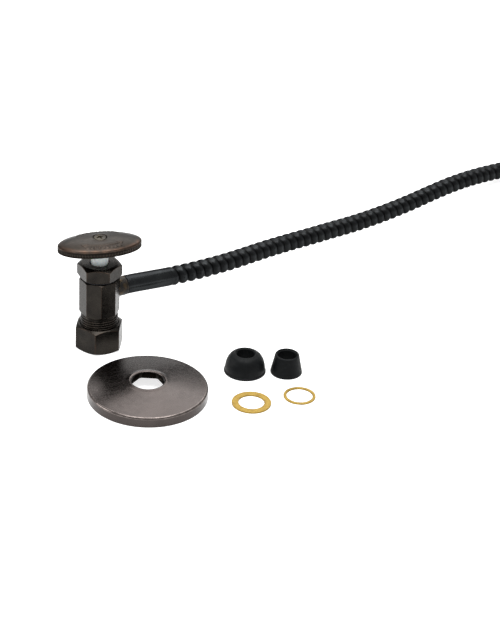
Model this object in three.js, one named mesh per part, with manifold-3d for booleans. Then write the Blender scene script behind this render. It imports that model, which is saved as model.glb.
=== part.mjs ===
// Multi-turn angle stop valve kit: the valve with its permanently fitted corrugated riser,
// and the loose wall escutcheon, cone washers and friction rings that come with it.
// Millimetres, +Z up. The valve stands on its inlet nut and the riser's far end lies on the floor.
// Everything is drawn about the valve's stem axis, and the whole kit is centred at the end.

import * as THREE from 'three';
import { mergeVertices } from 'three/addons/utils/BufferGeometryUtils.js';
import Module from 'manifold-3d';

const wasm = await Module();
wasm.setup();

// ---------- driving dimensions ----------

const GAP = 0.2; // clearance left between pieces that seat on each other
const ROUND = 32; // facets round a turned piece
const RISER_ROUND = 12; // facets round the riser, which has many rows

const NUT = { flats: 23.8, height: 14.4, pipeHole: 8.15, threadBore: 10.5, vertexAt: 87 };
const FERRULE = { bore: 8.0, outer: 8.75, low: 2.6, high: 7.9 };

const BODY = { flats: 20.4, low: 21.1, high: 41.8, stubLow: 10.5, threadR: 10.2, neckR: 9.2 };
const SOCKET = { radius: 8.1, depth: 24.0, mouth: 9.7, coneHeight: 2.5 };
const INLET_PITCH = 1.411; // 18 threads per inch
const SEAT = { height: 28.0, hole: 4.6, rimR: 5.8 };
const CHAMBER_R = 7.3;
const BONNET_BORE_R = 8.6;

const OUTLET = { height: 33.0, azimuth: 34.0, portR: 4.5, portStart: 4, portEnd: 14 };
const COLLAR = { radius: 5.5, start: 10.6, end: 15.2, bore: 4.4 };

const BONNET = { flats: 21.2, low: 42.8, high: 50.9, topR: 9.5, plugLow: 36.8, plugR: 8.3, vertexAt: 1 };
const STEM = { shaft: 4.7, thread: 6.2, low: 37.2, shoulder: 44.6, neck: 59.9, top: 62.9, square: 6.2 };
const STEM_BORE = { shaft: 4.95, thread: 6.5, shoulder: 45.0 };
const O_RINGS = [46.5, 49.1]; // heights of the two stem seals
const O_RING = { inner: 4.9, outer: 6.2, grooveR: 6.35, half: 0.75, grooveHalf: 0.95 };
const HOLDER_SPIGOT = 2.3; // radius of the pin that turns in the stem's foot
const DISC_RAISED = 4.7; // washer face above the seat with the valve fully open

const HANDLE = { halfLong: 22.9, halfWide: 12.1, low: 59.1, rim: 63.0, crown: 65.9, azimuth: 19, flutes: 44 };
const HANDLE_SCREW = { headR: 3.55, pocketR: 3.9, headLow: 64.6, shankR: 1.5, shankLow: 54.0, holeLow: 52.5 };

const RISER = {
  start: 8.6, spigotEnd: 15.5, firstCrest: 46.5, // distances out from the stem axis
  smoothR: 5.2, crestR: 5.4, rootR: 4.1, boreR: 3.3, tailR: 4.75, spigotR: 4.2,
  pitch: 6.1, plainTail: 38.0, firstTurn: 0.15, runOut: 3.5, // the groove fades over runOut at its ends
};

const ESCUTCHEON = {
  radius: 31.75, rim: 5.6, lip: 9.3, hole: 8.7, wall: 0.8, gripFlats: 15.8, at: [30.3, -50.0],
};
const LARGE_CONE = { at: [80.5, -20.0] };
const SMALL_CONE = { at: [102.8, -18.9] };
const LARGE_RING = { outer: 10.4, inner: 6.8, thick: 0.9, at: [84.9, -52.8] };
const SMALL_RING = { outer: 8.5, inner: 6.9, thick: 0.8, at: [110.1, -43.5] };

// ---------- materials ----------

const finish = (color, roughness, metalness) =>
  new THREE.MeshStandardMaterial({ color, roughness, metalness });

const BRONZE = finish(0x3d3834, 0.38, 0.9);
const BLACK_TUBE = finish(0x24262a, 0.34, 0.85);
const COPPER = finish(0x5a3d2c, 0.4, 0.9);
const BRASS = finish(0xcaa548, 0.35, 1.0);
const RUBBER = finish(0x17181a, 0.8, 0.0);
const FIBRE = finish(0x141414, 0.85, 0.0);
const STEM_PLASTIC = finish(0xc9d2d1, 0.45, 0.0);
const STEEL = finish(0x57514a, 0.35, 0.95);

// ---------- helpers ----------

const radians = THREE.MathUtils.degToRad;

// Merges a geometry's vertices, drops the slivers on the axis and turns its faces outwards.
function closedSurface(geometry) {
  const loose = geometry.index ? geometry.toNonIndexed() : geometry.clone();
  loose.deleteAttribute('normal');
  loose.deleteAttribute('uv');
  const merged = mergeVertices(loose, 1e-4);
  const position = merged.attributes.position;
  const corner = (i) => new THREE.Vector3().fromBufferAttribute(position, i);
  const triangles = [];
  let volume = 0;
  for (let i = 0; i < merged.index.count; i += 3) {
    const [a, b, c] = [0, 1, 2].map((k) => merged.index.getX(i + k));
    if (a === b || b === c || c === a) continue;
    triangles.push([a, b, c]);
    volume += corner(a).dot(corner(b).cross(corner(c)));
  }
  const outward = volume > 0 ? triangles : triangles.map(([a, b, c]) => [a, c, b]);
  merged.setIndex(outward.flat());
  return merged;
}

function toSolid(geometry) {
  const surface = closedSurface(geometry);
  return new wasm.Manifold(new wasm.Mesh({
    numProp: 3,
    vertProperties: new Float32Array(surface.attributes.position.array),
    triVerts: new Uint32Array(surface.index.array),
  }));
}

function fromSolid(solid) {
  const { vertProperties, triVerts } = solid.getMesh();
  const geometry = new THREE.BufferGeometry();
  geometry.setAttribute('position', new THREE.BufferAttribute(vertProperties, 3));
  geometry.setIndex(new THREE.BufferAttribute(triVerts, 1));
  return geometry;
}

function piece(name, geometry, material) {
  const shaded = closedSurface(geometry).toNonIndexed();
  shaded.computeVertexNormals();
  const mesh = new THREE.Mesh(shaded, material);
  mesh.name = name;
  return mesh;
}

// A turned solid about +Z from a closed outline of [radius, height] points.
function turned(outline, segments = ROUND) {
  const points = outline.map(([r, z]) => new THREE.Vector2(r, z));
  const onAxis = outline[0][0] === 0 && outline.at(-1)[0] === 0;
  if (!onAxis) points.push(points[0].clone());
  return new THREE.LatheGeometry(points, segments).rotateX(Math.PI / 2);
}

const ring = (inner, outer, low, high, segments = ROUND) =>
  turned([[inner, low], [outer, low], [outer, high], [inner, high]], segments);

const rod = (radius, low, high, segments = ROUND) =>
  turned([[0, low], [radius, low], [radius, high], [0, high]], segments);

// A prism with the given number of flats, one of its corners at vertexAt degrees.
function prism(sides, acrossFlats, low, high, vertexAt) {
  const radius = acrossFlats / 2 / Math.cos(Math.PI / sides);
  return rod(radius, low, high, sides).rotateZ(radians(vertexAt) - Math.PI / 2);
}

function box(sizeX, sizeY, low, high) {
  return new THREE.BoxGeometry(sizeX, sizeY, high - low).translate(0, 0, (low + high) / 2);
}

// ---------- inlet: compression nut and ferrule ----------

function inletNut() {
  const cornerR = NUT.flats / 2 / Math.cos(Math.PI / 6);
  const blank = turned([
    [0, 0], [11.7, 0], [cornerR, 1.1], [cornerR, NUT.height - 1.5], [11.4, NUT.height], [0, NUT.height],
  ]);
  const bore = turned([
    [0, -1], [NUT.pipeHole, -1], [NUT.pipeHole, 2.2], [9.5, 4.4], [NUT.threadBore, 5.6],
    [NUT.threadBore, NUT.height - 0.6], [NUT.threadBore + 0.4, NUT.height + 1], [0, NUT.height + 1],
  ]);
  const hexagon = prism(6, NUT.flats, 0, NUT.height, NUT.vertexAt);
  return fromSolid(toSolid(hexagon).intersect(toSolid(blank)).subtract(toSolid(bore)));
}

function inletFerrule() {
  const { bore, outer, low, high } = FERRULE;
  return turned([
    [bore, low], [bore + 0.35, low], [outer, low + 1.3],
    [outer, high - 1.3], [bore + 0.35, high], [bore, high],
  ]);
}

// ---------- valve body ----------

// Ring-shaped thread crests from the stub's end up to the neck.
function threadOutline(low, high) {
  const depth = 0.75;
  const outline = [];
  for (let z = low; z + INLET_PITCH <= high; z += INLET_PITCH) {
    outline.push([BODY.threadR - depth, z], [BODY.threadR, z + INLET_PITCH / 2]);
  }
  return outline;
}

function valveBody() {
  const { flats, low, high, stubLow, neckR } = BODY;
  const cornerR = flats / 2 / Math.cos(Math.PI / 8);
  const barrel = toSolid(prism(8, flats, low, high, OUTLET.azimuth + 22.5)).intersect(toSolid(turned([
    [0, low], [9.9, low], [cornerR, low + 0.9], [cornerR, high - 0.6], [10.2, high], [0, high],
  ])));
  const stub = toSolid(turned([
    [0, stubLow], ...threadOutline(stubLow, low - 0.9), [neckR, low - 0.8], [neckR, low + 1], [0, low + 1],
  ]));
  const waterway = toSolid(turned([
    [0, stubLow - 1], [SOCKET.mouth + 0.4, stubLow - 1], [SOCKET.mouth, stubLow],
    [SOCKET.radius, stubLow + SOCKET.coneHeight], [SOCKET.radius, SOCKET.depth],
    [SEAT.hole, SOCKET.depth + 1], [SEAT.hole, SEAT.height], [SEAT.rimR, SEAT.height],
    [SEAT.rimR, SEAT.height - 1], [CHAMBER_R, SEAT.height - 1], [CHAMBER_R, BONNET.plugLow - 1.2],
    [BONNET_BORE_R, BONNET.plugLow - 0.4], [BONNET_BORE_R, high + 1], [0, high + 1],
  ]));
  const port = toSolid(alongOutlet(rod(OUTLET.portR, OUTLET.portStart, OUTLET.portEnd, 24)));
  return fromSolid(barrel.add(stub).subtract(waterway).subtract(port));
}

// Turns a piece drawn up the Z axis so that it runs out along the outlet.
function alongOutlet(geometry) {
  return geometry
    .rotateY(Math.PI / 2)
    .rotateZ(radians(OUTLET.azimuth))
    .translate(0, 0, OUTLET.height);
}

// ---------- bonnet, seals, stem ----------

function bonnetNut() {
  const { flats, low, high, topR, plugLow, plugR, vertexAt } = BONNET;
  const cornerR = flats / 2 / Math.cos(Math.PI / 6);
  const blank = turned([
    [0, low], [9.9, low], [cornerR, low + 1.1], [cornerR, high - 1.6], [topR, high], [0, high],
  ]);
  const head = toSolid(prism(6, flats, low, high, vertexAt)).intersect(toSolid(blank));
  const plug = toSolid(turned([
    [0, plugLow], [plugR - 0.6, plugLow], [plugR, plugLow + 0.6], [plugR, low + 1], [0, low + 1],
  ]));
  const groove = (z) => ring(4, O_RING.grooveR, z - O_RING.grooveHalf, z + O_RING.grooveHalf, 32);
  const bore = turned([
    [0, plugLow - 1], [STEM_BORE.thread, plugLow - 1], [STEM_BORE.thread, STEM_BORE.shoulder],
    [STEM_BORE.shaft, STEM_BORE.shoulder], [STEM_BORE.shaft, high - 0.5], [5.6, high + 0.2], [0, high + 0.2],
  ], 32);
  let solid = head.add(plug).subtract(toSolid(bore));
  for (const z of O_RINGS) solid = solid.subtract(toSolid(groove(z)));
  return fromSolid(solid);
}

function stemORing(z) {
  const { inner, outer, half } = O_RING;
  const middle = (inner + outer) / 2;
  return turned([
    [inner, z], [middle, z - half], [outer, z], [middle, z + half],
  ], 32);
}

function stem() {
  const { shaft, thread, low, shoulder, neck, top, square } = STEM;
  const shank = toSolid(turned([
    [0, low], [thread - 0.5, low], [thread, low + 0.5], [thread, shoulder - 0.5], [thread - 0.5, shoulder],
    [shaft, shoulder], [shaft, neck], [0, neck],
  ], 32));
  const drive = toSolid(box(square, square, neck - 1, top).rotateZ(radians(HANDLE.azimuth)));
  const discSocket = toSolid(rod(HOLDER_SPIGOT + 0.3, low - 1, low + 3.2, 24));
  const screwHole = toSolid(rod(HANDLE_SCREW.shankR + 0.25, HANDLE_SCREW.holeLow, top + 1, 16));
  return fromSolid(shank.add(drive).subtract(discSocket).subtract(screwHole));
}

// Swivelling holder on the stem's foot, with a spigot that turns inside the stem.
function washerHolder() {
  const low = SEAT.height + DISC_RAISED;
  const shell = turned([
    [0, low + 2.7], [6.15, low + 2.7], [6.15, low + 0.9], [6.75, low + 0.9], [6.75, low + 3.6],
    [6.1, low + 4.1], [HOLDER_SPIGOT, low + 4.1], [HOLDER_SPIGOT, low + 7.0], [0, low + 7.0],
  ], 32);
  return fromSolid(toSolid(shell).subtract(toSolid(rod(1.35, low, low + 6, 16))));
}

function seatWasher() {
  const low = SEAT.height + DISC_RAISED;
  return turned([[1.5, low], [5.6, low], [5.9, low + 0.3], [5.9, low + 2.5], [1.5, low + 2.5]], 32);
}

function washerScrew() {
  const low = SEAT.height + DISC_RAISED;
  const screw = turned([
    [0, low - 1.7], [2.2, low - 1.7], [3.0, low - 0.9], [3.0, low - GAP], [1.15, low - GAP],
    [1.15, low + 5.6], [0, low + 5.6],
  ], 16);
  const slot = box(7, 0.8, low - 2.5, low - 1.0);
  return fromSolid(toSolid(screw).subtract(toSolid(slot)));
}

// ---------- handle ----------

// Alternate facets of the side band stand proud, which gives the fine grip flutes.
function fluted(geometry, low, high, depth) {
  const position = geometry.attributes.position;
  const step = Math.PI / HANDLE.flutes;
  for (let i = 0; i < position.count; i += 1) {
    const [x, y, z] = [position.getX(i), position.getY(i), position.getZ(i)];
    const isBand = z > low && z < high && Math.hypot(x, y) > HANDLE.halfLong - 1.2;
    const facet = Math.round(Math.atan2(y, x) / step);
    if (isBand && Math.abs(facet) % 2 === 1) {
      const shrink = 1 - depth / Math.hypot(x, y);
      position.setXY(i, x * shrink, y * shrink);
    }
  }
  return geometry;
}

function handle() {
  const { halfLong: a, halfWide, low, rim, crown, azimuth, flutes } = HANDLE;
  const oval = (geometry) => geometry.scale(1, halfWide / a, 1);
  const shell = turned([
    [0, crown], [a * 0.45, crown - 0.5], [a * 0.8, crown - 1.6], [a * 0.95, rim - 0.1], [a, rim - 0.8],
    [a - 0.2, rim - 1.1], [a - 0.2, low + 0.8], [a, low + 0.6], [a - 0.3, low], [a - 2.0, low],
    [a - 2.2, rim - 1.6], [a * 0.45, crown - 2.4], [0, crown - 2.0],
  ], 2 * flutes);
  const skin = toSolid(oval(fluted(shell, low + 0.7, rim - 1.0, 0.25)));
  const hub = toSolid(rod(6.3, low + 1.1, crown - 1.2, 32));
  const socket = toSolid(box(STEM.square + 0.5, STEM.square + 0.5, low - 1, STEM.top + 0.3));
  const pocket = toSolid(rod(HANDLE_SCREW.pocketR, HANDLE_SCREW.headLow - GAP, crown + 2, 32));
  const hole = toSolid(rod(HANDLE_SCREW.shankR + 0.25, low - 1, crown + 2, 16));
  const solid = skin.add(hub).subtract(socket).subtract(pocket).subtract(hole);
  return fromSolid(solid).rotateZ(radians(azimuth));
}

function handleScrew() {
  const { headR, headLow, shankR, shankLow } = HANDLE_SCREW;
  const top = HANDLE.crown;
  const screw = toSolid(turned([
    [0, shankLow], [shankR, shankLow + 0.6], [shankR, headLow], [headR, headLow], [headR, top - 0.5],
    [headR - 0.5, top - 0.1], [0, top + 0.1],
  ], 24));
  const recess = toSolid(box(4.0, 0.8, top - 1.0, top + 1)).add(toSolid(box(0.8, 4.0, top - 1.0, top + 1)));
  return fromSolid(screw.subtract(recess)).rotateZ(radians(HANDLE.azimuth + 20));
}

// ---------- riser ----------

function riserCollar() {
  const { radius, start, end, bore } = COLLAR;
  return alongOutlet(turned([
    [bore, start], [radius - 0.3, start], [radius, start + 0.3],
    [radius, end - 0.4], [radius - 0.4, end], [bore, end],
  ], 32));
}

// Hand-bent route of the riser's centreline: straight from the outlet, then sinking to the floor.
function riserRoute() {
  const out = radians(OUTLET.azimuth);
  const bends = [
    [26.5, 17.6, 32.2], [36.6, 25.3, 30.9], [47.2, 34.7, 29.3], [57.9, 45.4, 27.5], [68.8, 57.3, 25.5],
    [80, 70.4, 23.6], [91.4, 84, 21.5], [103, 97.2, 19.3], [115, 110.3, 17.1], [127.2, 123.5, 15.1],
    [139.7, 136.8, 13.1], [152.4, 150.3, 11.6], [165.3, 164, 10.7], [178.5, 178, 10.4],
    [191.9, 192.2, 10.6], [205.5, 206.4, 10.6], [219.5, 220.5, 9.7], [233.9, 234.4, 7.9],
    [246, 244.2, 6.6], [257, 250.4, 5.9], [267, 253.2, 5.4], [276, 254, 5.1], [286, 254, 5.1],
  ];
  const points = [RISER.start, 12, 18].map((r) =>
    new THREE.Vector3(r * Math.cos(out), r * Math.sin(out), OUTLET.height));
  for (const [x, y, z] of bends) points.push(new THREE.Vector3(x, y, z));
  const route = new THREE.CatmullRomCurve3(points, false, 'centripetal');
  route.arcLengthDivisions = 2000;
  return route;
}

// Where the corrugation starts and ends, as distances along the riser.
function corrugation(length) {
  return [RISER.firstCrest - RISER.start - RISER.pitch / 2, length - RISER.plainTail];
}

// Straight tube up the Z axis: plain inlet, a stretch to be grooved, plain tail, and an open bore.
function riserOutline(length) {
  const { start, smoothR, crestR, boreR, tailR, spigotR, spigotEnd, pitch } = RISER;
  const [first, last] = corrugation(length);
  const outline = [[spigotR, 0], [spigotR, spigotEnd - start], [smoothR, spigotEnd - start]];
  outline.push([smoothR, (spigotEnd - start + first) / 2], [smoothR, first]);
  const grooveStep = pitch / 4;
  for (let s = first + grooveStep; s < last - grooveStep / 2; s += grooveStep) outline.push([crestR, s]);
  outline.push([tailR, last]);
  const tailStep = 9;
  for (let s = last + tailStep; s < length - 1; s += tailStep) outline.push([tailR, s]);
  outline.push([tailR, length]);
  const steps = 48;
  for (let i = steps; i >= 0; i -= 1) outline.push([boreR, (length * i) / steps]);
  return outline;
}

// Rolls one right-handed spiral groove into the outside of the straight tube, between round crests.
function grooved(geometry, length) {
  const { crestR, rootR, pitch, firstTurn, runOut } = RISER;
  const [first, last] = corrugation(length);
  const position = geometry.attributes.position;
  for (let i = 0; i < position.count; i += 1) {
    const [x, y, s] = [position.getX(i), position.getY(i), position.getZ(i)];
    const radius = Math.hypot(x, y);
    if (radius < rootR || s <= first || s >= last) continue;
    const turns = (s - first) / pitch + Math.atan2(y, x) / (2 * Math.PI) + firstTurn;
    const depth = (crestR - rootR) * (1 - Math.abs(Math.sin(Math.PI * turns)));
    const fade = Math.min(1, (s - first) / runOut, (last - s) / runOut);
    const scale = (radius - depth * fade) / radius;
    position.setXY(i, x * scale, y * scale);
  }
  return geometry;
}

// Bends a piece drawn up the Z axis so that its height becomes distance along the route.
function bent(geometry, route, length) {
  const position = geometry.attributes.position;
  const up = new THREE.Vector3(0, 0, 1);
  for (let i = 0; i < position.count; i += 1) {
    const s = Math.min(Math.max(position.getZ(i) / length, 0), 1);
    const centre = route.getPointAt(s);
    const tangent = route.getTangentAt(s);
    const side = new THREE.Vector3().crossVectors(tangent, up).normalize();
    const over = new THREE.Vector3().crossVectors(side, tangent);
    centre.addScaledVector(side, position.getX(i)).addScaledVector(over, position.getY(i));
    position.setXYZ(i, centre.x, centre.y, centre.z);
  }
  return geometry;
}

function riserTube() {
  const route = riserRoute();
  const length = route.getLength();
  return bent(grooved(turned(riserOutline(length), RISER_ROUND), length), route, length);
}

// ---------- loose pieces ----------

function escutcheon() {
  const { radius, rim, lip, hole, wall, gripFlats } = ESCUTCHEON;
  const shell = toSolid(turned([
    [radius - wall, 0], [radius, 0], [radius, rim - 1.3], [radius - 0.35, rim - 0.4], [radius - 1.1, rim],
    [12.0, lip - 0.7], [10.4, lip - 0.15], [9.6, lip], [hole + 0.1, lip - 0.2], [hole, lip - 0.6],
    [hole, lip - 3.2], [hole + wall, lip - 3.2], [hole + wall, lip - 1.2], [11.8, lip - 1.6],
    [radius - 1.4, rim - wall - 0.1], [radius - wall, rim - 1.5],
  ], 48));
  const gripCorner = gripFlats / 2 / Math.cos(Math.PI / 6);
  const grip = toSolid(ring(gripCorner, gripCorner + 2, lip - 3.9, lip - 3.0, 6))
    .intersect(toSolid(rod(hole + wall - 0.1, 0, lip, 48)));
  return fromSolid(shell.add(grip));
}

function largeConeWasher() {
  return turned([
    [4.9, 0], [11.3, 0], [11.3, 0.9], [10.9, 1.2], [10.85, 3.3], [10.3, 5.6], [9.3, 7.8], [7.9, 9.6],
    [6.5, 10.8], [5.7, 11.1], [4.9, 10.6],
  ], 36);
}

function smallConeWasher() {
  return turned([
    [4.95, 0], [8.6, 0], [8.6, 0.8], [6.6, 10.6], [6.15, 11.2], [5.75, 11.2], [4.95, 10.2],
  ], 36);
}

function frictionRing({ outer, inner, thick }) {
  const edge = 0.15;
  return turned([
    [inner, 0], [outer, 0], [outer, thick - edge],
    [outer - edge, thick], [inner + edge, thick], [inner, thick - edge],
  ], 36);
}

// ---------- assembly ----------

const kit = new THREE.Group();

kit.add(
  piece('valve_body', valveBody(), BRONZE),
  piece('inlet_nut', inletNut(), BRONZE),
  piece('inlet_ferrule', inletFerrule(), BRASS),
  piece('bonnet_nut', bonnetNut(), BRONZE),
  piece('bonnet_gasket', ring(BONNET_BORE_R, 9.9, BODY.high + GAP, BONNET.low - GAP), FIBRE),
  piece('stem', stem(), STEM_PLASTIC),
  piece('washer_holder', washerHolder(), BRASS),
  piece('seat_washer', seatWasher(), RUBBER),
  piece('washer_screw', washerScrew(), BRASS),
  piece('handle', handle(), BRONZE),
  piece('handle_screw', handleScrew(), STEEL),
  piece('riser_collar', riserCollar(), COPPER),
  piece('riser_tube', riserTube(), BLACK_TUBE),
);
O_RINGS.forEach((z, i) => {
  kit.add(piece(['stem_o_ring_lower', 'stem_o_ring_upper'][i], stemORing(z), RUBBER));
});

function loose(name, geometry, material, [x, y]) {
  const mesh = piece(name, geometry, material);
  mesh.position.set(x, y, 0);
  kit.add(mesh);
}

loose('escutcheon', escutcheon(), BRONZE, ESCUTCHEON.at);
loose('cone_washer_large', largeConeWasher(), RUBBER, LARGE_CONE.at);
loose('cone_washer_small', smallConeWasher(), RUBBER, SMALL_CONE.at);
loose('friction_ring_large', frictionRing(LARGE_RING), BRASS, LARGE_RING.at);
loose('friction_ring_small', frictionRing(SMALL_RING), BRASS, SMALL_RING.at);

// The origin is under the middle of the whole kit, on the floor.
const part = new THREE.Group();
const middle = new THREE.Box3().setFromObject(kit).getCenter(new THREE.Vector3());
kit.position.set(-middle.x, -middle.y, 0);
part.add(kit);

export default part;
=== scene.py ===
"""Looks of the angle stop valve kit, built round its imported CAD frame.

Outlines are in millimetres about each piece's own axis, with z up from the floor. Every piece is
placed by the box of the CAD node that it stands for.
"""

import math

import bmesh
import bpy
import numpy as np
from mathutils import Matrix, Vector


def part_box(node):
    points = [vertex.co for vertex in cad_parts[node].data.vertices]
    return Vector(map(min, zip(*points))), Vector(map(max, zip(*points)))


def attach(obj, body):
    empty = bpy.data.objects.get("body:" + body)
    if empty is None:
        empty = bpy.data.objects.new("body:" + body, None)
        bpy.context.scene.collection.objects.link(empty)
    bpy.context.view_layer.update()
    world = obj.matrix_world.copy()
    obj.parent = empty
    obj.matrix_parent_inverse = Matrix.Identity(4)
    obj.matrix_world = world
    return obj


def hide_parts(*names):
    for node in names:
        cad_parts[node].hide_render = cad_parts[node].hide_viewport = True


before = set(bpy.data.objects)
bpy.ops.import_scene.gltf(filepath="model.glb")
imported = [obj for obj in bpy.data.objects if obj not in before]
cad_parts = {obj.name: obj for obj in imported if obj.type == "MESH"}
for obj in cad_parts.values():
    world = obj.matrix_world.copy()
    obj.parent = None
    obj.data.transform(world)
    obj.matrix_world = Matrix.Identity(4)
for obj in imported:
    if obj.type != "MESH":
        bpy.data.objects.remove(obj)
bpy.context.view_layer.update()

MM = 0.001

# ---------- sizes shared by several pieces, as in the CAD ----------

NUT_FLATS, NUT_VERTEX, NUT_HIGH = 23.8, 87.0, 14.4
BARREL_FLATS, BARREL_LOW, BARREL_HIGH = 20.4, 21.1, 41.8
BONNET_FLATS, BONNET_VERTEX = 21.2, 1.0
BONNET_LOW, BONNET_HIGH, PLUG_LOW = 42.8, 50.9, 36.8
OUTLET_HEIGHT, OUTLET_AZIMUTH = 33.0, 34.0
STEM_SHOULDER, STEM_NECK, STEM_TOP, STEM_SQUARE = 44.6, 59.9, 62.9, 6.2
HANDLE_LONG, HANDLE_WIDE, HANDLE_AZIMUTH = 22.9, 12.1, 19.0
HANDLE_LOW, HANDLE_RIM, HANDLE_CROWN = 59.1, 63.0, 65.9
HANDLE_FLUTES = 88
POCKET_R, POCKET_FLOOR, SCREW_HOLE = 3.9, 64.4, 1.75
HUB_R, DOME_SHARE = 6.3, 0.955  # radius of the hub, and how far out the dome reaches
THREAD_R, THREAD_PITCH, SOCKET_R = 10.2, 1.411, 8.1
O_RINGS = 49.1, 46.5


# ---------- mesh helpers ----------


def axis_of(node):
    """The point on the floor under the middle of a CAD node, in metres."""
    low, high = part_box(node)
    return Vector(((low.x + high.x) / 2, (low.y + high.y) / 2, 0.0))


def round_columns(count):
    """Angles and zero corner wear of a turned piece."""
    return np.arange(count) * math.tau / count, np.zeros(count)


def polygon(sides, flats, corner, vertex_at, per_corner=6, per_flat=8):
    """Angles, radii and corner wear round a regular polygon whose corners are rounded."""
    half = math.pi / sides
    apothem = flats / 2
    reach = (apothem - corner) * math.tan(half)
    points, worn = [], []
    for k in range(sides):
        vertex = math.radians(vertex_at) + 2 * half * k
        middle = (apothem - corner) / math.cos(half)
        for turn in np.linspace(-half, half, per_corner):
            points.append((
                middle * math.cos(vertex) + corner * math.cos(vertex + turn),
                middle * math.sin(vertex) + corner * math.sin(vertex + turn),
            ))
            worn.append(1.0)
        normal = vertex + half
        for t in np.sin(np.linspace(-math.pi / 2, math.pi / 2, per_flat + 2))[1:-1]:
            points.append((
                apothem * math.cos(normal) - reach * t * math.sin(normal),
                apothem * math.sin(normal) + reach * t * math.cos(normal),
            ))
            worn.append(0.0)
    points = np.array(points)
    angle = np.arctan2(points[:, 1], points[:, 0])
    return angle, np.hypot(points[:, 0], points[:, 1]), np.array(worn)


def filleted(corners, columns, steps=4):
    """Rows of (radius, height) and their edge wear, from a closed outline of (radius, height, fillet).

    A radius or height may be one number or one for each column. A corner without a fillet stays sharp,
    and a fourth value on it is its wear. Wear is positive on an outer edge, which is rubbed bright (on the
    escutcheon it carries a painted highlight), and negative in an inner corner, which the finishes darken:
    partly a dark patina, partly painted shade.
    """
    points = np.array([
        np.stack([np.full(columns, 1.0) * c[0], np.full(columns, 1.0) * c[1]], axis=-1) for c in corners
    ])
    first = points[:, 0]
    after = np.roll(first, -1, axis=0)
    turn_sign = np.sign(np.sum(first[:, 0] * after[:, 1] - after[:, 0] * first[:, 1]))
    rows, wear = [], []
    for i, corner in enumerate(corners):
        here = points[i]
        fillet = corner[2] if len(corner) > 2 else 0.0
        if not fillet:
            rows.append(here)
            wear.append(np.full(columns, 1.0) * (corner[3] if len(corner) > 3 else 0.0))
            continue
        back = points[i - 1] - here
        ahead = points[(i + 1) % len(corners)] - here
        back_length = np.linalg.norm(back, axis=1, keepdims=True)
        ahead_length = np.linalg.norm(ahead, axis=1, keepdims=True)
        back, ahead = back / back_length, ahead / ahead_length
        cosine = np.clip(np.sum(back * ahead, axis=1, keepdims=True), -0.9999, 0.9999)
        half = np.arccos(cosine) / 2
        shortest = np.minimum(back_length, ahead_length)
        cut = np.minimum(fillet / np.tan(half), 0.42 * shortest)
        radius = cut * np.tan(half)
        middle = (back + ahead) / np.linalg.norm(back + ahead, axis=1, keepdims=True)
        centre = here + middle * radius / np.sin(half)
        start, end = here + back * cut, here + ahead * cut
        convex = np.sign(np.cross(-back, ahead)) == turn_sign
        hold = np.minimum(0.3, 0.06 * shortest)
        rows.append(start + back * hold)
        wear.append(np.zeros(columns))
        for t in np.linspace(0, 1, steps + 1):
            chord = start * (1 - t) + end * t - centre
            chord /= np.linalg.norm(chord, axis=1, keepdims=True)
            rows.append(centre + chord * radius)
            # Inner fillets get -0.6: darkened as dark patina and as painted shade.
            wear.append(np.where(convex, 1.0, -0.6))
        rows.append(end + ahead * hold)
        wear.append(np.zeros(columns))
    return np.array(rows), np.array(wear)


def spun(rows, angle):
    """Points in space of rows of (radius, height), one column at each angle."""
    radius, height = rows[..., 0], rows[..., 1]
    return np.stack([radius * np.cos(angle), radius * np.sin(angle), height], axis=-1)


def grid_object(name, points, wear, material):
    """One closed smooth mesh from a grid of points (mm) that joins up along its rows and its columns."""
    rows, columns = points.shape[:2]
    index = np.arange(rows * columns).reshape(rows, columns)
    below, beside = np.roll(index, -1, axis=0), np.roll(index, -1, axis=1)
    corner = np.roll(below, -1, axis=1)
    faces = np.stack([index, beside, corner, below], axis=-1).reshape(-1, 4)
    mesh = bpy.data.meshes.new(name)
    mesh.from_pydata((points.reshape(-1, 3) * MM).tolist(), [], faces.tolist())
    # The wear attribute is positive on rubbed edges and negative where the finishes paint shade.
    layer = mesh.attributes.new("wear", "FLOAT", "POINT")
    layer.data.foreach_set("value", wear.reshape(-1).astype(np.float32))
    work = bmesh.new()
    work.from_mesh(mesh)
    bmesh.ops.remove_doubles(work, verts=work.verts, dist=2e-7)
    if work.calc_volume(signed=True) < 0:
        bmesh.ops.reverse_faces(work, faces=work.faces)
    work.to_mesh(mesh)
    work.free()
    mesh.shade_smooth()
    mesh.materials.append(material)
    obj = bpy.data.objects.new(name, mesh)
    bpy.context.scene.collection.objects.link(obj)
    return obj


def place(obj, node, body, where=None, turn=None):
    """Puts a finished piece where its CAD node is, to ride on that body and stand for that node."""
    if turn:
        obj.data.transform(turn)
    obj.matrix_world = Matrix.Translation(axis_of(node) if where is None else where)
    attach(obj, body)
    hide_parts(node)


def turned(name, corners, material, columns=128):
    """A piece turned round its axis from a filleted outline."""
    angle, _ = round_columns(columns)
    rows, wear = filleted(corners, columns)
    return grid_object(name, spun(rows, angle), wear, material)


def faceted(name, corners, shape, material):
    """A piece whose outer rows follow a polygon; its upright corners are worn like its creases."""
    angle, radius, worn = shape
    rows, wear = filleted(corners, len(angle))
    on_flats = np.abs(rows[..., 0] - radius) < 0.02
    return grid_object(name, spun(rows, angle), np.maximum(wear, worn * on_flats), material)


def chamfer(radius, face, corner, drop):
    """How far a chamfer cone has dropped where it meets the flats, for each column."""
    return drop * (radius - face) / (corner - face)


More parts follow.
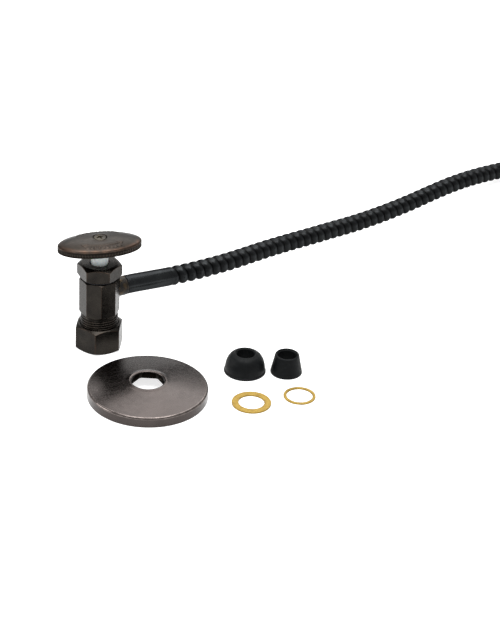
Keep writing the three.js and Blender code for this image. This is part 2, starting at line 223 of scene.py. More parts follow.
def thread_rows(angle, low, high, crest, root, pitch, step=0.075):
    """Raw outline rows of a right-handed screw thread that runs out at both ends."""
    rows = []
    for z in np.arange(low, high, step):
        phase = (z / pitch - angle / math.tau) % 1.0
        ridge = np.clip((1 - np.abs(2 * phase - 1) - 0.1) / 0.75, 0, 1)
        ridge = ridge * ridge * (3 - 2 * ridge)
        ends = min(1.0, (z - low) / (0.8 * pitch), (high - z) / (0.8 * pitch))
        # Thread roots get -0.8: dark patina and painted shade in the roots.
        worn = (ridge > 0.9) * 0.6 * ends - (ridge < 0.1) * 0.8
        rows.append((root + (crest - root) * ridge * ends, z, 0, worn))
    return rows


# ---------- finishes ----------

COPPER_TINT = (0.17, 0.085, 0.05, 1)


class Finish:
    """A node material being put together, with a short call for each kind of node it uses."""

    def __init__(self, name, **sockets):
        self.material = bpy.data.materials.new(name)
        self.material.use_nodes = True
        self.tree = self.material.node_tree
        self.shader = self.tree.nodes["Principled BSDF"]
        for socket, value in sockets.items():
            self.shader.inputs[socket.replace("_", " ")].default_value = value
        self.here = self.node("ShaderNodeTexCoord").outputs["Object"]

    def node(self, kind, sockets=None, **settings):
        node = self.tree.nodes.new(kind)
        for setting, value in settings.items():
            setattr(node, setting, value)
        for socket, value in (sockets or {}).items():
            self.put(node.inputs[socket], value)
        return node

    def put(self, socket, value):
        if isinstance(value, bpy.types.NodeSocket):
            self.tree.links.new(value, socket)
        else:
            socket.default_value = value

    def noise(self, size_mm, detail=3.0, where=None):
        """Cloudy 0-1 noise whose patches are about size_mm across."""
        scale = 1.0 / (size_mm * MM)
        where = self.here if where is None else where
        return self.node(
            "ShaderNodeTexNoise", {"Vector": where, "Scale": scale, "Detail": detail}
        ).outputs["Fac"]

    def remap(self, value, low, high, to_low=0.0, to_high=1.0):
        return self.node("ShaderNodeMapRange", {
            "Value": value, "From Min": low, "From Max": high, "To Min": to_low, "To Max": to_high,
        }, interpolation_type="SMOOTHSTEP").outputs["Result"]

    def math(self, operation, a, b=0.0):
        return self.node("ShaderNodeMath", {0: a, 1: b}, operation=operation).outputs[0]

    def mix(self, factor, a, b):
        return self.node("ShaderNodeMix", {0: factor, 6: a, 7: b}, data_type="RGBA").outputs[2]

    def wear(self):
        """How much an edge is rubbed, 0 to 1, and how much painted shade, over any dark patina, an inner
        corner or groove gets.
        """
        wear = self.node("ShaderNodeAttribute", attribute_name="wear").outputs["Fac"]
        return self.math("MAXIMUM", wear, 0.0), self.math("MAXIMUM", self.math("MULTIPLY", wear, -1.0), 0.0)

    def bump(self, height, depth_mm, under=None):
        sockets = {"Height": height, "Distance": depth_mm * MM, "Strength": 1.0}
        if under is not None:
            sockets["Normal"] = under
        return self.node("ShaderNodeBump", sockets).outputs["Normal"]

    def turning(self, across_mm, along_mm):
        """Noise that only changes with the distance from the piece's axis and along it."""
        x, y, z = self.node("ShaderNodeSeparateXYZ", {0: self.here}).outputs
        square = self.math("ADD", self.math("MULTIPLY", x, x), self.math("MULTIPLY", y, y))
        along = self.math("MULTIPLY", z, across_mm / along_mm)
        lined = self.node("ShaderNodeCombineXYZ", {0: self.math("SQRT", square), 1: along})
        return self.noise(across_mm, 2.0, lined.outputs[0])

    def done(self, color, roughness, normal):
        self.put(self.shader.inputs["Base Color"], color)
        self.put(self.shader.inputs["Roughness"], roughness)
        self.put(self.shader.inputs["Normal"], normal)
        return self.material


def bronze(name, dark, light, roughness, marks=None, edge_color=COPPER_TINT, wear=0.15, ripple=0.02):
    """Oil-rubbed bronze: cloudy near-black brown that has rubbed back towards copper on the edges.

    ripple is the depth in mm of the slight waves that polishing has left.
    """
    look = Finish(name, Metallic=1.0)
    base = look.mix(look.remap(look.noise(9.0, 3.0), 0.32, 0.7), dark, light)
    edge, recess = look.wear()
    rub = look.remap(look.noise(3.0, 5.0), 0.3, 0.7, 0.25, 1.0)
    factor = look.math("MULTIPLY", look.math("MULTIPLY", edge, rub), wear)
    # Recesses go towards near-black: the dark patina of oil-rubbed bronze together with painted shade.
    color = look.mix(recess, look.mix(factor, base, edge_color), (0.006, 0.005, 0.004, 1))
    smooth = look.remap(look.noise(2.4, 3.0), 0.3, 0.7, roughness - 0.03, roughness + 0.04)
    rough = look.math("SUBTRACT", smooth, look.math("MULTIPLY", factor, 0.1))
    normal = look.bump(look.noise(0.5, 2.0), 0.0012)
    if marks:
        normal = look.bump(look.turning(*marks), 0.0006, normal)
    return look.done(color, rough, look.bump(look.noise(3.0, 2.0), ripple, normal))


def black_metal():
    """Satin black coating of the riser, rubbed on the crests; the groove is rougher and painted shade
    darkens it.
    """
    look = Finish("riser_black", Metallic=1.0, Specular_Tint=(0.5, 0.5, 0.5, 1))
    cloud = look.remap(look.noise(9.0, 3.0), 0.35, 0.7)
    base = look.mix(cloud, (0.0175, 0.0185, 0.0195, 1), (0.0245, 0.0262, 0.0272, 1))
    edge, recess = look.wear()
    rub = look.math("MULTIPLY", edge, look.remap(look.noise(1.2, 4.0), 0.45, 0.75))
    color = look.mix(look.math("MULTIPLY", rub, 0.3), base, (0.05, 0.048, 0.047, 1))
    # Painted shade: the groove goes towards near-black, and the rest of the corrugated stretch a little.
    color = look.mix(recess, color, (0.003, 0.003, 0.003, 1))
    smooth = look.remap(look.noise(1.4, 3.0), 0.3, 0.7, 0.22, 0.30)
    rough = look.math("ADD", smooth, look.math("MULTIPLY", recess, 0.1))
    waves = look.bump(look.noise(2.5, 2.0), 0.015)
    return look.done(color, rough, look.bump(look.noise(0.6, 2.0), 0.0015, waves))


def copper_joint():
    """Heat-tinted brazed joint of the riser and the body."""
    look = Finish("collar_copper", Metallic=1.0)
    tint = look.remap(look.noise(2.6, 4.0), 0.4, 0.7)
    color = look.mix(tint, (0.022, 0.021, 0.020, 1), (0.052, 0.038, 0.024, 1))
    rough = look.remap(look.noise(0.8, 3.0), 0.3, 0.7, 0.34, 0.5)
    return look.done(color, rough, look.bump(look.noise(0.6, 3.0), 0.01))


def brass(name, color, stain, roughness, across_mm):
    """Bare brass, turned or punched, with fine round marks and a light tarnish."""
    look = Finish(name, Metallic=1.0)
    marks = look.turning(across_mm, 1.0)
    tarnish = look.remap(look.noise(2.2, 4.0), 0.42, 0.75)
    rubbed = look.mix(look.math("MULTIPLY", tarnish, 0.65), color, stain)
    base = look.mix(look.math("MULTIPLY", look.remap(marks, 0.3, 0.7), 0.45), rubbed, stain)
    rough = look.remap(look.noise(0.7, 3.0), 0.3, 0.7, roughness - 0.05, roughness + 0.1)
    return look.done(base, rough, look.bump(look.noise(0.25, 2.0), 0.004, look.bump(marks, 0.02)))


def rubber(name, color, dusty, roughness, grain=0.02):
    """Moulded black rubber with a fine grain and a little dust."""
    look = Finish(name, Metallic=0.0, Specular_IOR_Level=0.1)
    dust = look.remap(look.noise(1.8, 6.0), 0.5, 0.8)
    base = look.mix(look.math("MULTIPLY", dust, 0.5), color, dusty)
    # Outer edges are mixed about a third of the way towards the dusty colour.
    base = look.mix(look.math("MULTIPLY", look.wear()[0], 0.35), base, dusty)
    rough = look.remap(look.noise(1.1, 3.0), 0.3, 0.7, roughness - 0.06, roughness + 0.08)
    waves = look.bump(look.noise(3.5, 2.0), 0.06)
    return look.done(base, rough, look.bump(look.noise(0.3, 3.0), grain, waves))


def stem_plastic():
    """Pale grey acetal with faint turning lines."""
    look = Finish("stem_plastic", Metallic=0.0, Specular_IOR_Level=0.5, Subsurface_Weight=0.12,
                  Subsurface_Scale=0.002)
    cloud = look.remap(look.noise(1.5, 3.0), 0.3, 0.7)
    base = look.mix(cloud, (0.46, 0.50, 0.50, 1), (0.58, 0.62, 0.62, 1))
    rough = look.remap(look.noise(0.8, 3.0), 0.3, 0.7, 0.34, 0.46)
    return look.done(base, rough, look.bump(look.turning(0.2, 0.2), 0.006))


def floor_paint():
    """Pale matt floor that glows a little, so that contact shadows stay faint."""
    look = Finish("floor_paint", Metallic=0.0, Specular_IOR_Level=0.2, Emission_Color=(1, 1, 1, 1),
                  Emission_Strength=0.75)
    tone = look.mix(look.noise(400.0, 2.0), (0.49, 0.49, 0.488, 1), (0.52, 0.52, 0.518, 1))
    return look.done(tone, 0.9, look.bump(look.noise(2.0, 3.0), 0.02))


BRONZE = bronze("bronze", (0.0155, 0.014, 0.0125, 1), (0.0245, 0.0215, 0.0185, 1), 0.27, wear=0.1)
# The escutcheon's pale edge colour, mixed in strongly by wear=0.8, paints a highlight along the rolled rim
# and the hole's lip.
TURNED_BRONZE = bronze("escutcheon_bronze", (0.052, 0.0445, 0.042, 1), (0.060, 0.051, 0.048, 1), 0.26,
                       marks=(0.14, 0.5), edge_color=(0.17, 0.145, 0.135, 1), wear=0.8, ripple=0.004)
HANDLE_BRONZE = bronze("handle_bronze", (0.021, 0.018, 0.0155, 1), (0.033, 0.027, 0.023, 1), 0.33,
                       wear=0.2)
SCREW_BRONZE = bronze("screw_bronze", (0.035, 0.030, 0.024, 1), (0.06, 0.05, 0.035, 1), 0.30,
                      edge_color=(0.22, 0.17, 0.08, 1), wear=0.6)
RISER_BLACK = black_metal()
COPPER = copper_joint()
RAW_BRASS = brass("raw_brass", (0.55, 0.39, 0.14, 1), (0.28, 0.17, 0.06, 1), 0.34, 0.25)
RING_BRASS = brass("ring_brass", (0.31, 0.21, 0.047, 1), (0.17, 0.105, 0.024, 1), 0.40, 0.6)
SEAL_RUBBER = rubber("black_rubber", (0.010, 0.010, 0.011, 1), (0.04, 0.04, 0.042, 1), 0.62)
CONE_RUBBER = rubber("cone_rubber", (0.0022, 0.0027, 0.0031, 1), (0.008, 0.0092, 0.0102, 1), 0.50)
PALE_PLASTIC = stem_plastic()


# ---------- inlet nut, ferrule, body, bonnet ----------


def inlet_nut():
    shape = polygon(6, NUT_FLATS, 0.5, NUT_VERTEX)
    radius = shape[1]
    corner = NUT_FLATS / 2 / math.cos(math.pi / 6)
    outline = [
        (11.7, 0, 0.12), (radius, chamfer(radius, 11.7, corner, 1.1), 0.3),
        (radius, NUT_HIGH - chamfer(radius, 11.4, corner, 1.5), 0.3), (11.4, NUT_HIGH, 0.15),
        (10.7, NUT_HIGH, 0.1), (10.5, NUT_HIGH - 0.5, 0.1), (10.5, 5.6, 0.1), (9.5, 4.4, 0.1),
        (8.15, 2.2, 0.1), (8.15, 0, 0.25),
    ]
    place(faceted("compression_nut", outline, shape, BRONZE), "inlet_nut", "nut")


def inlet_ferrule():
    outline = [
        (8.0, 2.6, 0.1), (8.35, 2.6, 0.1), (8.75, 3.9, 0.6), (8.75, 6.6, 0.6),
        (8.35, 7.9, 0.1), (8.0, 7.9, 0.1),
    ]
    place(turned("ferrule_ring", outline, RAW_BRASS, 96), "inlet_ferrule", "ferrule")


def valve_body():
    shape = polygon(8, BARREL_FLATS, 0.35, OUTLET_AZIMUTH + 22.5, per_flat=10)
    angle, radius = shape[:2]
    corner = BARREL_FLATS / 2 / math.cos(math.pi / 8)
    outline = [
        (9.44, 10.9), *thread_rows(angle, 10.95, 20.15, THREAD_R, 9.45, THREAD_PITCH),
        (9.2, 20.3, 0.1), (9.2, BARREL_LOW, 0.2), (9.9, BARREL_LOW, 0.1),
        (radius, BARREL_LOW + chamfer(radius, 9.9, corner, 0.9), 0.22),
        (radius, BARREL_HIGH - chamfer(radius, 10.2, corner, 0.6), 0.2), (10.2, BARREL_HIGH, 0.1),
        (8.6, BARREL_HIGH, 0.15), (8.6, 36.4), (7.3, 35.6), (7.3, 27.0), (5.8, 27.0), (5.8, 28.0, 0.15),
        (4.6, 28.0, 0.15), (4.6, 25.0), (SOCKET_R, 24.0), (SOCKET_R, 13.0),
    ]
    place(faceted("octagonal_body", outline, shape, BRONZE), "valve_body", "valve")


def bonnet_nut():
    shape = polygon(6, BONNET_FLATS, 0.45, BONNET_VERTEX)
    radius = shape[1]
    corner = BONNET_FLATS / 2 / math.cos(math.pi / 6)
    groove = ((4.95, 0.95), (6.35, 0.95), (6.35, -0.95), (4.95, -0.95))
    grooves = [(r, z + dz) for z in O_RINGS for r, dz in groove]
    outline = [
        (6.5, PLUG_LOW, 0.15), (8.3, PLUG_LOW, 0.5), (8.3, BONNET_LOW, 0.1), (9.9, BONNET_LOW, 0.1),
        (radius, BONNET_LOW + chamfer(radius, 9.9, corner, 1.1), 0.25),
        (radius, BONNET_HIGH - chamfer(radius, 9.5, corner, 1.6), 0.35), (9.5, BONNET_HIGH, 0.25),
        (5.5, BONNET_HIGH, 0.25), (4.95, BONNET_HIGH - 0.5), *grooves, (4.95, 45.0), (6.5, 45.0),
    ]
    place(faceted("hex_bonnet", outline, shape, BRONZE), "bonnet_nut", "valve")


def bonnet_gasket():
    outline = [(8.6, 42.0, 0.08), (9.9, 42.0, 0.2), (9.9, 42.6, 0.2), (8.6, 42.6, 0.08)]
    place(turned("gasket_ring", outline, SEAL_RUBBER, 96), "bonnet_gasket", "valve")


def stem():
    shape = polygon(4, STEM_SQUARE, 0.5, HANDLE_AZIMUTH + 45, per_corner=10, per_flat=22)
    angle, square = shape[:2]
    thread = thread_rows(angle, 37.75, 44.1, 6.2, 5.55, 1.5)
    outline = [
        (0, 40.4), (2.6, 40.4), (2.6, 37.2, 0.1), (5.6, 37.2, 0.2), *thread, (5.6, STEM_SHOULDER, 0.2),
        (4.7, STEM_SHOULDER, 0.1), (4.7, STEM_NECK, 0.25),
        (square, STEM_NECK + 0.01), (square, STEM_TOP, 0.3),
        (SCREW_HOLE, STEM_TOP, 0.1), (SCREW_HOLE, 52.5), (0, 52.5),
    ]
    rows, wear = filleted(outline, len(angle))
    obj = grid_object("valve_stem", spun(rows, angle), wear, PALE_PLASTIC)
    place(obj, "stem", "stem_and_handle")


# ---------- handle ----------


def handle_dome(reach):
    """Height of the handle's top at a share of the way from its middle to its rim."""
    inner = np.minimum(reach, 0.45) / 0.45
    outer = np.maximum(reach - 0.45, 0.0) / 0.5
    return HANDLE_CROWN - 0.5 * inner**2 - 2.35 * outer**1.75


def arc_arrows(across, along):
    """Raised 0-1 mask of two curved double-ended arrows and the grip dots between them.

    across is the share of the way to the rim, and along is the angle round the handle.
    """
    mask = np.zeros_like(across)
    for middle in (-math.pi / 2, math.pi / 2):
        turn = (along - middle + math.pi) % math.tau - math.pi
        shaft = (np.abs(turn) < 0.62) * (np.abs(across - 0.66) < 0.022)
        from_tip = 0.86 - np.abs(turn)
        head = (from_tip > 0) * (from_tip < 0.24) * (np.abs(across - 0.66) < 0.4 * from_tip)
        mask = np.maximum(mask, np.maximum(shaft, head))
        for step in range(-4, 5):
            bar = (np.abs(turn - step * 0.13) < 0.035) * (np.abs(across - 0.79) < 0.045)
            mask = np.maximum(mask, bar)
    return mask.astype(float)


def handle_reach(xy):
    """Share of the way from the handle's middle to its rim."""
    return np.hypot(xy[:, 0] / HANDLE_LONG, xy[:, 1] / HANDLE_WIDE)


class HandleSkin:
    """Rows of the handle's closed skin, added one loop after another."""

    def __init__(self):
        self.columns = 4 * HANDLE_FLUTES
        t = np.arange(self.columns) * math.tau / self.columns
        self.round = np.stack([np.cos(t), np.sin(t)], axis=-1)
        self.oval = self.round * (HANDLE_LONG, HANDLE_WIDE)
        outward = self.round / (HANDLE_LONG, HANDLE_WIDE)
        self.outward = outward / np.linalg.norm(outward, axis=1, keepdims=True)
        self.flute = 0.5 - 0.5 * np.cos(HANDLE_FLUTES * t)
        self.rows, self.wear = [], []

    def loop(self, xy, z, worn=0.0):
        z = np.full(self.columns, 1.0) * z
        self.rows.append(np.concatenate([xy, z[:, None]], axis=1))
        self.wear.append(np.full(self.columns, 1.0) * worn)

    def circle(self, radius, z, worn=0.0):
        self.loop(radius * self.round, z, worn)

    def rim(self, inset, z, worn=0.0, fluting=0.0):
        """A loop inside the oval by inset, and by up to fluting more between the flutes' ridges."""
        self.loop(self.oval - self.outward * (inset + fluting * (1 - self.flute))[:, None], z, worn)


def handle_top(skin):
    """Screw pocket, then the dome with its raised arrows, out to the rim line."""
    skin.circle(SCREW_HOLE, STEM_TOP + 0.3)
    skin.circle(SCREW_HOLE, POCKET_FLOOR)
    skin.circle(POCKET_R - 0.1, POCKET_FLOOR)
    skin.circle(POCKET_R, POCKET_FLOOR + 0.1)
    for share in np.linspace(0, 1, 96):
        xy = POCKET_R * skin.round * (1 - share) + DOME_SHARE * skin.oval * share
        reach = handle_reach(xy)
        raised = arc_arrows(reach, np.arctan2(xy[:, 1] / HANDLE_WIDE, xy[:, 0] / HANDLE_LONG))
        lip = 0.12 * np.exp(-((share * 14) ** 2))
        worn = np.maximum(0.2 * raised, np.clip((share - 0.86) / 0.1, 0, 1))
        skin.loop(xy, handle_dome(reach) + 0.16 * raised + lip, worn)


def handle_edge(skin):
    """Rolled edge, groove, fluted grip band and lower lip."""
    for angle in np.linspace(20, 95, 6):
        inset = 0.75 - 0.72 * math.sin(math.radians(angle))
        worn = 0.9 if angle < 60 else 0.3
        skin.rim(inset, HANDLE_RIM - 1.0 + 0.75 * math.cos(math.radians(angle)), worn)
    skin.rim(0.1, HANDLE_RIM - 1.1)
    # Wear -1.0 here paints a near-black shade line in the groove under the rolled edge.
    skin.rim(0.45, HANDLE_RIM - 1.22, -1.0)
    skin.rim(0.45, HANDLE_RIM - 1.42, -1.0)
    # In the flute rows below, negative wear paints shade between the flutes' ridges.
    for z, depth in ((HANDLE_RIM - 1.5, 0.08), (HANDLE_RIM - 1.6, 0.3), (61.0, 0.32), (60.5, 0.32),
                     (60.05, 0.3), (59.95, 0.08)):
        skin.rim(0.06, z, skin.flute * 0.9 - 0.75, depth)
    # Wear -1.0 paints a near-black shade line in the groove above the lower lip; the rows below it are a
    # little darker (-0.2).
    for inset, z, worn in ((0.42, 59.88, -1.0), (0.42, 59.75, -1.0), (0.05, 59.7, -0.2),
                           (0.02, 59.5, -0.2), (0.12, 59.22, -0.2), (0.35, HANDLE_LOW, 0.3),
                           (1.7, HANDLE_LOW, 0.0), (1.95, HANDLE_LOW + 0.15, 0.0), (2.1, 61.2, 0.0)):
        skin.rim(inset, z, worn)


def handle_underside(skin):
    """Hollow underside, hub, and the square socket that sits on the stem."""
    hub = HUB_R * skin.round
    edge = skin.oval - 2.3 * skin.outward
    for share in np.linspace(0, 1, 14):
        xy = edge * (1 - share) + hub * share
        skin.loop(xy, np.minimum(handle_dome(handle_reach(xy)) - 1.9, 62.9))
    skin.circle(HUB_R, HANDLE_LOW + 1.3)
    skin.circle(HUB_R - 0.2, HANDLE_LOW + 1.1)
    socket = (STEM_SQUARE + 0.5) / 2 / np.max(np.abs(skin.round), axis=1)
    for z in (HANDLE_LOW + 1.1, STEM_TOP + 0.3):
        skin.loop(socket[:, None] * skin.round, z)


def handle():
    skin = HandleSkin()
    handle_top(skin)
    handle_edge(skin)
    handle_underside(skin)
    obj = grid_object("oval_handle", np.array(skin.rows), np.array(skin.wear), HANDLE_BRONZE)
    turn = Matrix.Rotation(math.radians(HANDLE_AZIMUTH), 4, "Z")
    place(obj, "handle", "stem_and_handle", axis_of("stem"), turn)


def handle_screw():
    """Oval-head screw: the cross recess is pressed into a fine polar grid."""
    columns, head, top = 192, 3.55, HANDLE_CROWN
    angle, _ = round_columns(columns)
    x, y = np.cos(angle), np.sin(angle)
    rows, wear = [], []
    for radius in np.linspace(0, 3.1, 44):
        arm = np.minimum(np.abs(radius * x), np.abs(radius * y))
        side = np.clip((0.46 - arm) / 0.16, 0, 1)
        end = np.clip((2.05 - radius) / 0.5, 0, 1)
        depth = 0.95 * side * end
        rows.append(np.stack([np.full(columns, radius), top + 0.06 - 0.016 * radius**2 - depth], axis=-1))
        wear.append((side > 0) * (side < 1) * (end > 0) * 1.0 + 0.6 * (depth > 0.9))
    rim, worn = filleted([
        (3.25, top - 0.14), (head, top - 0.5, 0.2), (head, 64.6, 0.1), (1.5, 64.6), (1.5, 54.6),
        (0.0, 54.0),
    ], columns)
    points = np.concatenate([spun(np.array(rows), angle), spun(rim, angle)])
    obj = grid_object("handle_screw_head", points, np.concatenate([np.array(wear), worn]), SCREW_BRONZE)
    turn = Matrix.Rotation(math.radians(HANDLE_AZIMUTH + 20), 4, "Z")
    place(obj, "handle_screw", "stem_and_handle", axis_of("stem"), turn)


# ---------- riser ----------

RISER_START, SPIGOT_END, FIRST_CREST = 8.6, 15.5, 46.5  # distances out from the stem axis
CREST_R, ROOT_R, SMOOTH_R, TAIL_R, SPIGOT_R, RISER_BORE = 5.4, 4.1, 5.2, 4.75, 4.2, 3.3
PITCH, PLAIN_TAIL = 6.1, 38.0
FIRST_TURN = 0.15  # where round the tube the spiral groove starts
RUN_OUT, GROOVE_FILLET = 3.5, 0.09  # groove's fading length, and the rounding of its foot
ROUTE = [
    (26.5, 17.6, 32.2), (36.6, 25.3, 30.9), (47.2, 34.7, 29.3), (57.9, 45.4, 27.5), (68.8, 57.3, 25.5),
    (80, 70.4, 23.6), (91.4, 84, 21.5), (103, 97.2, 19.3), (115, 110.3, 17.1), (127.2, 123.5, 15.1),
    (139.7, 136.8, 13.1), (152.4, 150.3, 11.6), (165.3, 164, 10.7), (178.5, 178, 10.4),
    (191.9, 192.2, 10.6), (205.5, 206.4, 10.6), (219.5, 220.5, 9.7), (233.9, 234.4, 7.9),
    (246, 244.2, 6.6), (257, 250.4, 5.9), (267, 253.2, 5.4), (276, 254, 5.1), (286, 254, 5.1),
]


def riser_centreline():
    """Fine points along the riser's hand-bent route: a centripetal Catmull-Rom curve, as in the CAD."""
    out = math.radians(OUTLET_AZIMUTH)
    start = [(r * math.cos(out), r * math.sin(out), OUTLET_HEIGHT) for r in (RISER_START, 12, 18)]
    knots = np.array(start + ROUTE, float)
    knots = np.vstack([2 * knots[0] - knots[1], knots, 2 * knots[-1] - knots[-2]])
    line = []
    for p0, p1, p2, p3 in zip(knots, knots[1:], knots[2:], knots[3:]):
        d0, d1, d2 = (math.sqrt(np.linalg.norm(b - a)) for a, b in ((p0, p1), (p1, p2), (p2, p3)))
        leave = ((p1 - p0) / d0 - (p2 - p0) / (d0 + d1) + (p2 - p1) / d1) * d1
        arrive = ((p2 - p1) / d1 - (p3 - p1) / (d1 + d2) + (p3 - p2) / d2) * d1
        for t in np.linspace(0, 1, 120, endpoint=False):
            line.append(p1 + leave * t + (3 * (p2 - p1) - 2 * leave - arrive) * t**2
                        + (2 * (p1 - p2) + leave + arrive) * t**3)
    line.append(knots[-2])
    return np.array(line)


def plain_rows(rows, angle):
    """Rows (distance, radius, wear) that are the same all round."""
    along, radius, wear = np.array(rows, float).T
    all_round = np.ones((1, len(angle)))
    return along, radius[:, None] * all_round, wear[:, None] * all_round


def spiral_rows(start, end, angle):
    """One right-handed rolled groove between round crests, which runs out at both ends."""
    along = np.arange(start, end, PITCH / 24)
    turns = (along[:, None] - start) / PITCH + angle / math.tau + FIRST_TURN
    bulge = np.hypot(np.sin(math.pi * turns), GROOVE_FILLET * np.cos(math.pi * turns))
    radius = ROOT_R + (CREST_R - ROOT_R) * (bulge - GROOVE_FILLET) / (1 - GROOVE_FILLET)
    fade_in = np.clip((along - start) / RUN_OUT, 0, 1)[:, None]
    fade_out = np.clip((end - along) / RUN_OUT, 0, 1)[:, None]
    radius = SMOOTH_R + (radius - SMOOTH_R) * fade_in
    radius = TAIL_R + (radius - TAIL_R) * fade_out
    # Negative wear is painted shade: strongest in the groove, and the -0.25 darkens all but the crest tops a
    # little.
    worn = (9.0 * np.maximum(0, bulge - 0.9) - 0.6 * (1 - bulge) - 0.25) * fade_in * fade_out
    return along, radius, worn


def riser_rows(length, angle):
    """(distance, radius, wear) rows: smooth inlet, spiral corrugation, plain tail, and back inside."""
    spigot_end = SPIGOT_END - RISER_START
    first, last = FIRST_CREST - RISER_START - PITCH / 2, length - PLAIN_TAIL
    inlet = [(0, SPIGOT_R, 0), (spigot_end, SPIGOT_R, 0), (spigot_end, SMOOTH_R, 0)]
    inlet += [(s, SMOOTH_R, 0) for s in np.linspace(spigot_end + 0.5, first - 0.5, 20)]
    tail = [(s, TAIL_R, 0) for s in np.arange(last + 0.5, length - 1.0, 1.5)]
    tail += [(length - 0.35, TAIL_R, 0), (length - 0.1, TAIL_R - 0.1, 1), (length, TAIL_R - 0.35, 0.4),
             (length, RISER_BORE + 0.1, 0), (length - 0.1, RISER_BORE, 0)]
    tail += [(s, RISER_BORE, 0) for s in np.linspace(length - 1.0, 0, 120)]
    stretches = plain_rows(inlet, angle), spiral_rows(first, last, angle), plain_rows(tail, angle)
    return [np.concatenate(column) for column in zip(*stretches)]


def riser_tube():
    """The whole riser: its rows of (distance, radius) swept along the bent centreline."""
    line = riser_centreline()
    distance = np.concatenate([[0], np.cumsum(np.linalg.norm(np.diff(line, axis=0), axis=1))])
    angle, _ = round_columns(48)
    along, radius, wear = riser_rows(distance[-1], angle)
    centre = np.stack([np.interp(along, distance, line[:, k]) for k in range(3)], axis=-1)
    heading = np.gradient(line, distance, axis=0)
    heading = np.stack([np.interp(along, distance, heading[:, k]) for k in range(3)], axis=-1)
    heading /= np.linalg.norm(heading, axis=1, keepdims=True)
    side = np.cross(heading, (0, 0, 1))
    side /= np.linalg.norm(side, axis=1, keepdims=True)
    over = np.cross(side, heading)
    points = centre[:, None] + radius[..., None] * (
        side[:, None] * np.cos(angle)[:, None] + over[:, None] * np.sin(angle)[:, None])
    obj = grid_object("corrugated_riser", points, wear, RISER_BLACK)
    place(obj, "riser_tube", "valve", axis_of("stem"))


def riser_collar():
    """Sleeve round the brazed joint, turned about the outlet's axis."""
    outline = [
        (4.4, 8.8, 0.1), (5.3, 8.8, 0.1), (5.3, 15.2, 0.15), (5.15, 15.45, 0.05), (4.4, 15.45),
    ]
    turn = (Matrix.Translation((0, 0, OUTLET_HEIGHT * MM))
            @ Matrix.Rotation(math.radians(OUTLET_AZIMUTH), 4, "Z") @ Matrix.Rotation(math.pi / 2, 4, "Y"))
    place(turned("brazed_collar", outline, COPPER, 96), "riser_collar", "valve",
          axis_of("stem"), turn)


# ---------- loose pieces ----------

ESCUTCHEON_R, ESCUTCHEON_HOLE, GRIP_FLATS = 31.75, 8.7, 15.8
CONE_BORE_R, CONE_FOOT_R = 4.9, 11.3

def escutcheon():
    """Pressed flange: conical face, rolled rim and lip, and a collar that ends in a hexagon."""
    edge, hole = ESCUTCHEON_R, ESCUTCHEON_HOLE
    columns = 240
    angle, _ = round_columns(columns)
    sector = angle % (math.pi / 3) - math.pi / 6
    grip = np.minimum(GRIP_FLATS / 2 / np.cos(sector), hole + 0.05)
    face = [(r, 5.7 + 2.95 * (30.4 - r) / 18.4 + 0.12 * math.sin(math.pi * (30.4 - r) / 18.4))
            for r in np.linspace(29.4, 12.0, 12)]
    outline = [
        (edge - 0.8, 0, 0.1), (edge, 0, 0.15), (edge, 5.55, 1.1), *face,
        # Rows with a fourth value of -1 paint the hole's inner wall and the hexagon near-black: painted
        # shade.
        (11.0, 8.8), (10.3, 9.2), (9.6, 9.3, 0.4), (8.8, 9.0, 0.3), (hole, 8.5, 0, -1), (hole, 6.2, 0, -1),
        (grip, 6.05, 0, -1), (grip, 5.45, 0, -1), (9.45, 5.45, 0.1), (9.5, 8.0), (10.7, 7.95), (11.9, 7.75),
        (30.05, 4.75, 0.4), (edge - 0.8, 4.0, 0.3),
    ]
    rows, wear = filleted(outline, columns)
    obj = grid_object("wall_escutcheon", spun(rows, angle), wear, TURNED_BRONZE)
    place(obj, "escutcheon", "escutcheon")


def cone_washer_large():
    """Domed rubber washer with a short foot flange."""
    dome = [(5.1 + 5.75 * math.cos(a) ** 0.92, 1.5 + 9.3 * math.sin(a))
            for a in np.linspace(0.05, 1.36, 18)]
    outline = [(CONE_BORE_R, 0, 0.3), (CONE_FOOT_R, 0, 0.2), (CONE_FOOT_R, 0.9, 0.25),
               (10.87, 1.25, 0.1), *dome, (5.7, 11.05, 0.3), (CONE_BORE_R, 10.5, 0.3)]
    washer = turned("domed_cone_washer", outline, CONE_RUBBER, 160)
    place(washer, "cone_washer_large", "large_cone")


def cone_washer_small():
    """Tapered rubber washer with a thin foot flange."""
    outline = [
        (4.95, 0, 0.3), (8.6, 0, 0.25), (8.6, 0.7, 0.3), (6.5, 10.75, 0.5), (5.85, 11.2, 0.25),
        (4.95, 10.2, 0.3),
    ]
    washer = turned("tapered_cone_washer", outline, CONE_RUBBER, 144)
    place(washer, "cone_washer_small", "small_cone")


def friction_ring(name, node, body, inner, outer, thick):
    """Flat punched brass ring with a softened upper edge."""
    outline = [(inner, 0, 0.08), (outer, 0, 0.08), (outer, thick, 0.2), (inner, thick, 0.2)]
    place(turned(name, outline, RING_BRASS, 160), node, body)


def carried_nodes():
    """Sealed inner pieces whose CAD shape stays; they get the same finishes as their neighbours."""
    finishes = {
        "washer_holder": RAW_BRASS, "washer_screw": RAW_BRASS, "seat_washer": SEAL_RUBBER,
        "stem_o_ring_lower": SEAL_RUBBER, "stem_o_ring_upper": SEAL_RUBBER,
    }
    for name, material in finishes.items():
        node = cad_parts[name]
        node.data.materials.clear()
        node.data.materials.append(material)


# ---------- stage ----------

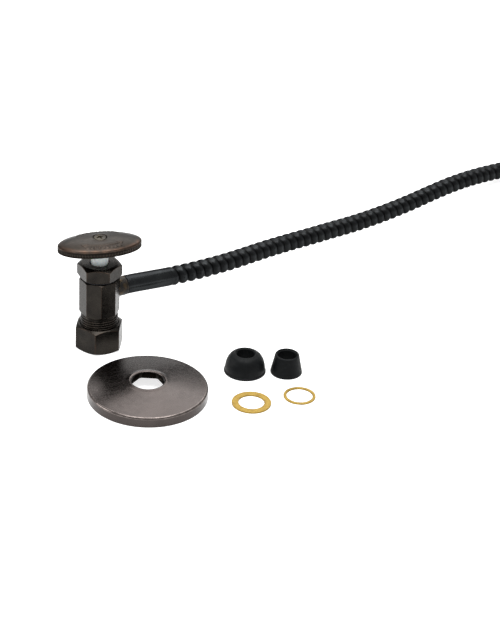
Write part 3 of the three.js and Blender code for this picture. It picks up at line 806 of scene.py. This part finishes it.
FLOOR_RADIUS, WORLD_LIGHT = 12.0, 0.75
SOFT_BOXES = {  # where, what it faces and its two sides in metres from the valve's axis, and its watts
    "back_softbox": ((0.1, 0.75, 1.0), (0.1, -0.03, 0.0), (1.1, 0.9), 11.0),
    "top_softbox": ((0.1, -0.15, 1.3), (0.1, -0.03, 0.0), (1.1, 0.7), 18.0),
    "left_softbox": ((-1.1, -0.1, 0.5), (0, 0, 0.03), (0.6, 0.6), 6.0),
}
LENS, SENSOR = 108.0, 36.0
CAMERA_AT = (81.7, -886.3, 520.1)  # from the foot of the valve's axis
CAMERA_PITCH, CAMERA_ROLL = 60.8, 3.0


def area_light(name, where, look_at, size, power):
    """A soft box with its middle at where, turned to look_at."""
    data = bpy.data.lights.new(name, "AREA")
    data.shape = "RECTANGLE"
    data.size, data.size_y = size
    data.energy = power
    light = bpy.data.objects.new(name, data)
    light.location = axis_of("stem") + Vector(where)
    toward = axis_of("stem") + Vector(look_at) - light.location
    light.rotation_euler = toward.to_track_quat("-Z", "Y").to_euler()
    bpy.context.scene.collection.objects.link(light)


def stage():
    """Pale floor, even daylight and three soft boxes."""
    bpy.ops.mesh.primitive_circle_add(vertices=96, radius=FLOOR_RADIUS, fill_type="NGON", location=(0, 0, 0))
    floor = bpy.context.object
    floor.name = "floor"
    floor.data.materials.append(floor_paint())
    world = bpy.data.worlds.new("studio")
    bpy.context.scene.world = world
    world.use_nodes = True
    background = world.node_tree.nodes["Background"]
    background.inputs["Color"].default_value = (1, 1, 1, 1)
    background.inputs["Strength"].default_value = WORLD_LIGHT
    for name, box in SOFT_BOXES.items():
        area_light(name, *box)
    bpy.context.scene.view_settings.view_transform = "Standard"


def camera():
    data = bpy.data.cameras.new("camera")
    data.lens, data.sensor_width = LENS, SENSOR
    data.clip_start, data.clip_end = 0.01, 50.0
    obj = bpy.data.objects.new("camera", data)
    spot = Matrix.Translation(axis_of("stem") + Vector(CAMERA_AT) * MM)
    pitch = Matrix.Rotation(math.radians(CAMERA_PITCH), 4, "X")
    obj.matrix_world = spot @ pitch @ Matrix.Rotation(math.radians(CAMERA_ROLL), 4, "Z")
    bpy.context.scene.collection.objects.link(obj)
    bpy.context.scene.camera = obj


inlet_nut()
inlet_ferrule()
valve_body()
bonnet_nut()
bonnet_gasket()
stem()
handle()
handle_screw()
riser_collar()
riser_tube()
escutcheon()
cone_washer_large()
cone_washer_small()
friction_ring("large_brass_ring", "friction_ring_large", "large_ring", 6.8, 10.4, 0.9)
friction_ring("small_brass_ring", "friction_ring_small", "small_ring", 6.9, 8.5, 0.8)
carried_nodes()
stage()
camera()
